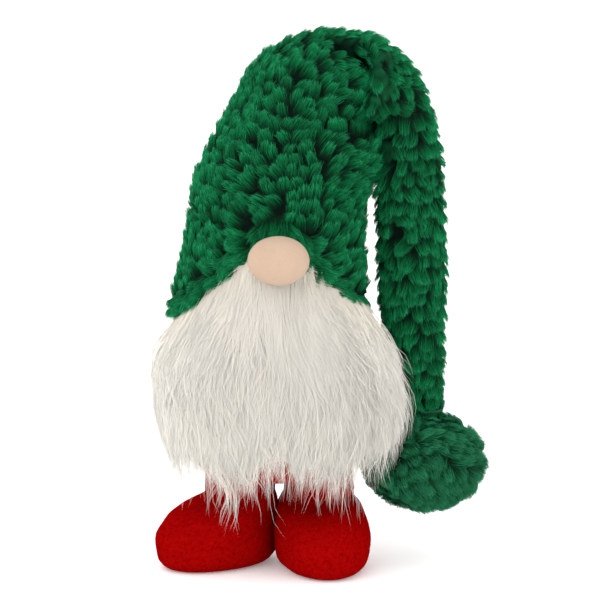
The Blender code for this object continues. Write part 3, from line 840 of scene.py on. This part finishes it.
def build_pompom():
    rng = np.random.default_rng(33)
    n = POMPOM_LOCKS
    i = np.arange(n) + 0.5
    polar = np.arccos(1 - 2 * i / n)
    turn = math.pi * (1 + 5**0.5) * i
    direction = stack(np.sin(polar) * np.cos(turn), np.sin(polar) * np.sin(turn), np.cos(polar))
    radii = POMPOM_RADII - POMPOM_PILE
    place = POMPOM_CENTRE + direction * radii
    normal = unit(direction / radii)
    down = np.array([0, 0, -1.0])
    swirl = np.stack([grain(place, 0.030, k) - 0.5 for k in (3.3, 7.7, 11.1)], -1)
    along = unit(down + 3.2 * swirl + np.cross(normal, down) * 0.5)
    ranges = ((0.0105, 0.0140), (0.0085, 0.0110), (0.0060, 0.0078))
    length, width, lift = (rng.uniform(low, high, n) for low, high in ranges)
    tufts = Tufts(place, normal, along, length, width, lift).turned(rng.normal(0, 0.35, n))
    a, b, c = ball_parts(150, 84)
    ball = stack(b, -a, -c)
    place = POMPOM_CENTRE + ball * radii
    pile = tufts.height_field(place)
    skin = add_rows("pompom_skin", place + unit(ball / radii) * (pile * POMPOM_RELIEF)[..., None], pile)
    path, up, soft, lot = tufts.strands(rng, POMPOM_FIBRES, gather=0.25, ruffle=0.11)
    width = rng.uniform(0.00032, 0.00055, len(path))
    fibres = add_strands("pompom_pile", path + AXIS, up, width, FIBRE_PROFILE, lot, soft)
    dress(skin, GREEN_SKIN)
    dress(fibres, POMPOM_FIBRE)
    for piece in [skin] + fibres:
        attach(piece, "pompom")
    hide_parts("pompom_cover", "pompom_stuffing")


# -------- beard

HAIR_PROFILE = (0.8, 1.0, 1.0, 1.0, 1.0, 0.9, 0.75, 0.5, 0.0)  # a hair's thickness along it
# low and high: how far up the beard a lock starts, from 0 to 1. short and long: its length. below: how far
# it can end below the beard's edge. drift: how much it strays sideways. sway: its widest wave. layer: how far
# past the others it lies, and root: how deep it starts, in shares of the pile's depth.
Lock = namedtuple("Lock", "name locks fibres low high spread short long below drift sway layer root")
LOCKS = (
    Lock("under", 640, 24, 0.00, 1.0, 0.0070, 0.050, 0.080, 0.000, 0.05, 0.0036, 0.00, 0.30),
    Lock("over", 250, 52, 0.30, 1.0, 0.0160, 0.075, 0.125, 0.004, 0.085, 0.0046, 0.00, 0.30),
    Lock("brim", 240, 28, 0.96, 1.0, 0.0100, 0.050, 0.115, 0.000, 0.05, 0.0036, 0.05, 0.60),
    Lock("wisp", 330, 9, 0.05, 0.8, 0.0042, 0.065, 0.120, 0.022, 0.11, 0.0048, 0.08, 0.30),
    Lock("edge", 150, 18, 0.00, 1.0, 0.0050, 0.035, 0.075, 0.000, 0.05, 0.0036, 0.00, 0.10),
    Lock("fly", 460, 2, 0.10, 1.0, 0.0040, 0.050, 0.120, 0.024, 0.17, 0.0060, 0.16, 0.30),
)


def beard_point(height, angle, share):
    """A point in the beard's pile, from 0 on the trunk to 1 on the pile's outer face."""
    depth = 0.0057 + smooth(height, PILE[:, 0], PILE[:, 1])
    depth = depth + 0.0080 * clip01(np.sin(angle) * 1.6 - 0.5) * bell(height, 0.190, 0.018)
    point = trunk_point(np.clip(height, TRUNK[0, 0], None), angle, depth * share)
    point[..., 2] = height
    return point


def beard_bottom(angle):
    """The height of the beard's edge: highest at the sides, with a notch between the legs."""
    scallop = 0.018 * (1 - np.cos(angle)) / (1 - math.cos(BEARD_SPREAD)) + 0.004 * np.sin(angle * 7 + 1.0)
    return 0.077 + scallop + 0.012 * bell(angle, 0, 0.12)


def beard_top(angle):
    return np.minimum(0.252, brim_height(angle) + 0.002)


def beard_grid():
    """Heights and angles over the beard, in rows from its edge up, and the shares across and up."""
    side = np.linspace(-1, 1, 120)
    level = np.linspace(0, 1, 90)[:, None]
    angle = side * (BEARD_SPREAD - 0.02)
    heights = beard_bottom(angle) + 0.008 + (beard_top(angle) - 0.004 - beard_bottom(angle)) * level
    return heights, np.broadcast_to(angle, heights.shape), side, level


def beard_body():
    """The body of the pile, under its fibres."""
    heights, angles, side, level = beard_grid()
    ridge_place = stack(angles * 0.075, 0 * angles, heights * 0.16)
    ridges = grain(ridge_place, 0.0045) * 0.6 + grain(ridge_place, 0.0022, 4.0) * 0.4
    edge = np.sqrt(clip01(1 - np.abs(side) ** 6))
    ends = np.sqrt(clip01(1 - clip01(1 - level / 0.10) ** 2))
    share = (0.14 + 0.40 * edge) * (0.55 + 0.45 * ends) + 0.10 * (ridges - 0.5) * edge
    front = beard_point(heights, angles, share)
    back = beard_point(heights, angles, np.full(heights.shape, 0.11))
    loop = np.concatenate([front, back[:, ::-1]], axis=1)
    # The ridges also set the colour: darker in their dips and on the back face, as painted shade.
    return add_rows("beard_pile_body", loop, np.concatenate([ridges, 0 * ridges], axis=1))


def beard_locks(rng, kind):
    """Locks of one kind: each grows from the backing and runs down and outwards, on the locks below."""
    n, one = kind.locks, np.repeat(np.arange(kind.locks), kind.fibres)
    m, each = len(one), one[:, None]
    angle0 = rng.uniform(-1, 1, n)
    if kind.name == "edge":
        angle0 = np.sign(angle0) * (0.93 + 0.07 * np.abs(angle0))
    angle0 = angle0 * (BEARD_SPREAD - 0.02)
    bottom, top = beard_bottom(angle0), beard_top(angle0)
    share0 = kind.low + (kind.high - kind.low) * rng.random(n) ** 0.8
    height0 = bottom + 0.026 + (top - bottom - 0.026) * share0
    place0 = stack(angle0 * 0.075, 0 * angle0, height0)
    lowest = bottom + 0.016 * (grain(place0 * [1, 1, 0], 0.011, 8.0) - 0.5) + rng.normal(0.0, 0.007, n)
    lowest = lowest - kind.below * rng.uniform(0.2, 1.6, n)
    length = np.minimum(rng.uniform(kind.short, kind.long, n), height0 - lowest)
    outwards = np.where(angle0 > 0, rng.uniform(0.06, 0.24, n), rng.uniform(0.0, 0.12, n))
    drift = angle0 * outwards + rng.normal(0, kind.drift, n)
    drift = drift + 0.50 * (grain(place0, 0.026, 5.0) - 0.5)
    drift = drift * length / 0.07

    # From here each value is a fibre's, and t runs from its root to its tip.
    t = np.linspace(0, 1, len(HAIR_PROFILE))
    spread = rng.normal(0, 0.5, m)
    reach = np.where(rng.random(m) < 0.65, rng.uniform(0.84, 1.03, m), rng.uniform(0.55, 0.9, m))
    reach = length[one] * reach
    root_height = height0[one] + rng.uniform(-0.004, 0.004, m) * (share0[one] < 0.95)
    height = root_height[:, None] - reach[:, None] * t
    phase = rng.uniform(0, 2 * math.pi, n)[each]
    wave_length = rng.uniform(0.036, 0.064, n)[each]
    sway = rng.uniform(0.0006, kind.sway, n)[each]
    wave = np.sin(2 * math.pi * reach[:, None] * t / wave_length + phase) * t**1.2 * sway
    clump = kind.spread * (1 - 0.76 * t**1.6) * spread[:, None]
    loose = rng.normal(0, 0.0011, m)[:, None] * t**2
    angle = angle0[each] + drift[each] * t**1.3 + (wave + clump + loose) / BEARD_ARC
    layer = rng.uniform(0.15 if kind.name == "edge" else 0.80, 1.00, n)[one] + rng.normal(0, 0.03, m)
    layer = layer + kind.layer
    share = kind.root + (layer[:, None] - kind.root) * (1 - (1 - t) ** 2.2)
    share = share + 0.035 * np.sin(2 * math.pi * reach[:, None] * t / 0.035 + phase * 2) * t
    # The roots lie flat where they come out from under the brim, except on the right.
    tucked = clip01((top[each] - height) / 0.014)
    share = share * np.where(angle > 0.35, 1.0, 0.60 + 0.40 * tucked)
    # Low on the right the hair stands out, over the pompom.
    share = share + 0.28 * rise(angle, 0.7, 0.5) * clip01((0.175 - height) / 0.05) * t
    if kind.name in ("fly", "wisp"):
        share = share + rng.uniform(0, 0.30, m)[:, None] * rise(angle, 0.6, 0.4) * t
    path = beard_point(height, np.clip(angle, -1.25, 1.36), share)
    sideways = stack(np.cos(angle), np.sin(angle), 0 * angle)
    lean = (0.28 * spread + rng.normal(0, 0.20, n)[one])[:, None, None]
    soft = unit(unit(path * [1, 1, 0]) + [0, 0, 0.25] + sideways * lean)
    width = rng.uniform(0.00020, 0.00034, m)
    lot = 0.7 * rng.random(n)[one] + 0.3 * rng.random(m)
    outward = unit(path[:, 0] * [1, 1, 0])
    return add_strands(f"beard_{kind.name}_locks", path + AXIS, outward, width, HAIR_PROFILE, lot, soft, 0.12)


def build_beard():
    rng = np.random.default_rng(47)
    body = beard_body()
    pile = [piece for kind in LOCKS for piece in beard_locks(rng, kind)]
    dress(body, WHITE_SKIN)
    dress(pile, WHITE_FIBRE)
    for piece in [body] + pile:
        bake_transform(piece)
    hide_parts("beard_pile", "beard_top_pile")


def build_beard_backing():
    """The knitted cloth under the pile, draped over the trunk."""
    heights, angles, _, _ = beard_grid()
    heights = np.clip(heights, 0.074, None)
    low_face, high_face = (trunk_point(heights, angles, out) for out in (0.0029, 0.0050))
    cloth = add_rows("beard_backing_cloth", np.concatenate([high_face, low_face[:, ::-1]], axis=1))
    dress(cloth, BACKING)
    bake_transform(cloth)
    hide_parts("beard_backing", "beard_top_backing")


# -------- nose, trunk, legs

def curls(points):
    """Short curly fleece: small round curls, from 0 in the gaps to 1 on their tops."""
    warp = np.stack([grain(points, 0.0021, k) for k in (1.5, 5.1, 8.7)], -1) * 0.0020
    ridge = 1 - np.abs(2 * grain(points + warp, 0.0016, 3.0) - 1)
    return clip01(0.6 * ridge + 0.4 * grain(points, 0.0010, 9.0))


def fleece_nap(points):
    """How far the fleece stands off its cloth, and how much of a curl's top each point is; the second makes
    the colour darker in the gaps between the curls, as painted shade.
    """
    top = curls(points)
    return 0.0009 * (top - 0.5) + 0.0010 * (grain(points, 0.011, 2.0) - 0.5), top


def build_nose():
    a, b, c = ball_parts(128, 72)
    ball = stack(a, -c, -b)
    lumps = 1 + 0.02 * (grain(ball, 0.7, 2.0) - 0.5) * 2
    nose = add_rows("nose", NOSE_CENTRE + ball * NOSE_RADII * lumps[..., None])
    dress(nose, NOSE_KNIT)
    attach(nose, "trunk")
    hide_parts("nose_cover", "nose_stuffing")


def build_trunk():
    angle = turn_angles(380)
    around = len(angle)
    # Close rows where the fleece can be seen, and wide ones under the hat.
    heights = np.concatenate([np.linspace(TRUNK[0, 0], 0.205, 130), np.linspace(0.209, TRUNK[-1, 0], 24)])
    rows = [trunk_point(np.full(around, h), angle) for h in heights[heights > BASE_EDGE]]
    # The stuffed base sags a little in the middle and is rounded at its edge.
    edge = np.full(around, BASE_EDGE)
    base = [
        trunk_point(edge, angle, BASE_REACH * (math.sin(a) - 1)) - [0, 0, BASE_SAG * math.cos(a)]
        for a in np.linspace(0, 1, 34)[:-1] * math.pi / 2
    ]
    points = np.array(base + rows)
    nap, top = fleece_nap(points)
    trunk = add_rows("trunk_fleece_body", points + unit(points * [1, 1, 0]) * nap[..., None], top)
    dress(trunk, RED_NAP)
    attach(trunk, "trunk")
    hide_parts("body_cover", "base_panel", "body_stuffing")


def foot_row(angle, height, forward, half_length, half_width):
    """One row of a slipper: an oval, in a frame whose -Y is the way the foot points."""
    ahead = forward + half_length * np.cos(angle)
    return stack(half_width * np.sin(angle), -ahead, height + 0 * angle)


def build_slipper(side):
    leg = LEGS[side]
    angle = turn_angles(330)
    heights = np.concatenate([[0.0, 0.0002, 0.0006, 0.0012, 0.0018], np.linspace(0.0026, FOOT[-1, 0], 84)])
    forward, half_length, half_width = (smooth(heights, FOOT[:, 0], FOOT[:, i])[:, None] for i in (1, 2, 3))
    sole = [foot_row(angle, 0.0, forward[0], half_length[0] * f, half_width[0] * f) for f in (0.25, 0.5, 0.75)]
    upper = foot_row(angle, heights[:, None], forward, half_length, half_width)
    local = np.concatenate([np.array(sole), upper])
    normal = unit(local - [0, -0.018, 0.022])
    nap, top = fleece_nap(local + leg["centre"] * 3)
    lifted = clip01(local[..., 2:3] / 0.004)
    local = local + normal * nap[..., None] * lifted
    c, s = math.cos(leg["heading"]), math.sin(leg["heading"])
    turn = np.array([[c, -s, 0], [s, c, 0], [0, 0, 1]])
    foot = add_rows(f"{side}_slipper", local @ turn.T + leg["centre"] + [leg["inward"], 0, 0], top)
    dress(foot, RED_NAP)
    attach(foot, f"{side}_leg")
    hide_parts(f"{side}_foot_upper", f"{side}_foot_sole", f"{side}_foot_stuffing")


def build_sleeve(side):
    """The leg's cover, from inside the slipper to inside the trunk."""
    centre = LEGS[side]["centre"]
    heights = np.linspace(SLEEVE_LOW, SLEEVE_HIGH, 44)
    radius = SLEEVE_RADIUS + SLEEVE_BULGE * np.sin(np.pi * (heights - SLEEVE_LOW) / 0.032)
    tube = round_section(0.0, radius[:, None], radius[:, None], heights[:, None], turn_angles(220)) + centre
    outward = unit((tube - centre) * [1, 1, 0])
    nap, top = fleece_nap(tube)
    limb = add_rows(f"{side}_leg_sleeve", tube + outward * nap[..., None], top)
    dress(limb, RED_NAP)
    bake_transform(limb)
    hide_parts(f"{side}_leg_cover", f"{side}_leg_stuffing")


build_hat()
build_pompom()
build_beard()
build_beard_backing()
build_nose()
build_trunk()
for each_side in LEGS:
    build_slipper(each_side)
    build_sleeve(each_side)

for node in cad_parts.values():
    if not node.hide_render:
        for material_slot in node.material_slots:
            slot_name = material_slot.material.name
            material_slot.material = next(m for slot, m in BY_SLOT.items() if slot_name.startswith(slot))


# -------- floor, light and camera

def add_light(name, place, size, power):
    data = bpy.data.lights.new(name, "AREA")
    data.shape, data.size, data.energy = "DISK", size, power
    lamp = link_object(name, data)
    lamp.location = place
    lamp.rotation_euler = (CENTRE - Vector(place)).to_track_quat("-Z", "Y").to_euler()


MIDDLE = (CAD_BOX[0] + CAD_BOX[1]) / 2
CENTRE = Vector((MIDDLE.x, MIDDLE.y, 0.2))
floor_mesh = bpy.data.meshes.new("floor")
floor_mesh.from_pydata([(-4, -4, 0), (4, -4, 0), (4, 4, 0), (-4, 4, 0)], [], [(0, 1, 2, 3)])
floor = link_object("floor", floor_mesh)
floor_material, _, _, floor_shader = new_material("floor_paper")
WHITE = (1, 1, 1, 1)
set_inputs(floor_shader, {"Base Color": WHITE, "Roughness": 0.9})
# The floor glows a little, though it is no lamp: painted light that lifts the shadows on it towards white.
set_inputs(floor_shader, {"Emission Color": WHITE, "Emission Strength": 0.16})
floor_mesh.materials.append(floor_material)

world = bpy.data.worlds.new("studio")
bpy.context.scene.world = world
world.use_nodes = True
set_inputs(world.node_tree.nodes["Background"], {"Color": WHITE, "Strength": 1.23})
add_light("key", (-1.4, -1.9, 2.0), 3.6, 33)
add_light("fill", (1.6, -1.6, 0.9), 2.4, 8)

camera_data = bpy.data.cameras.new("camera")
camera_data.sensor_width, camera_data.lens = 36, 144
camera = link_object("camera", camera_data)
bpy.context.scene.camera = camera
LOOK_AT = Vector((AXIS[0] + 0.01875, AXIS[1], 0.2016))
CAMERA_DISTANCE, ELEVATION = 1.8, math.radians(9)
camera.location = LOOK_AT + CAMERA_DISTANCE * Vector((0, -math.cos(ELEVATION), math.sin(ELEVATION)))
camera.rotation_euler = (LOOK_AT - camera.location).to_track_quat("-Z", "Y").to_euler()
view = bpy.context.scene.view_settings
view.view_transform, view.look = "Standard", "None"
